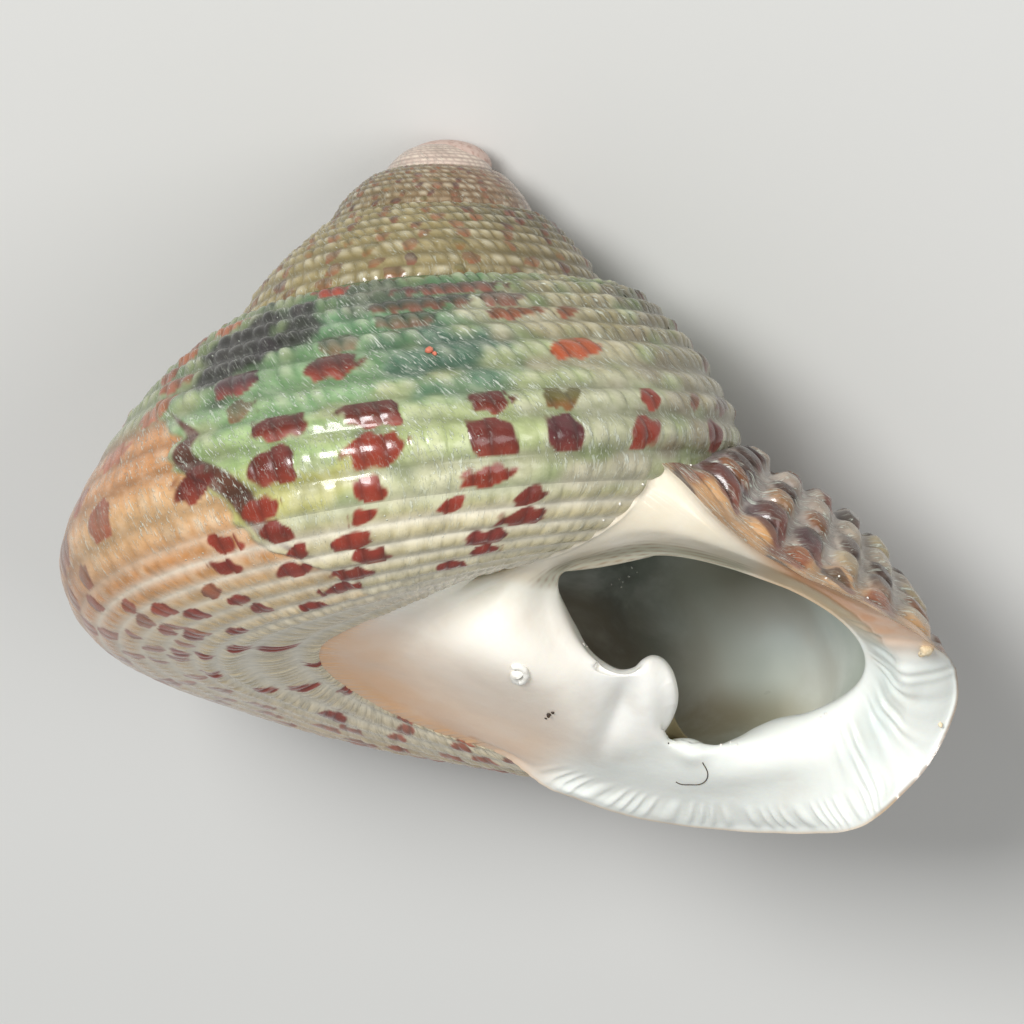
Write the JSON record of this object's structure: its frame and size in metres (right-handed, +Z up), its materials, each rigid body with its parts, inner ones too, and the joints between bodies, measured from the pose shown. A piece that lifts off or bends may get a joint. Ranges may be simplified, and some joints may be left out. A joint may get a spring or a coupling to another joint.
{
  "type": "top shell",
  "caption": "Conical beaded sea snail shell with a pearly mouth, toothed white columella and maroon-spotted whorls, lying on its back with the mouth up.",
  "frame": {"origin": "middle of the bounding box, on the surface it lies on", "axes": "+Z up; -Y towards the viewer who sees the mouth; the spire points to -Y and down, the mouth is at -X"},
  "size_m": [0.0286, 0.0228, 0.0176],
  "materials": {
    "shell": "glossy beaded shell with porcelain and nacre mouth"
  },
  "bodies": {
    "root": {"shell": "shell"}
  },
  "joints": []
}
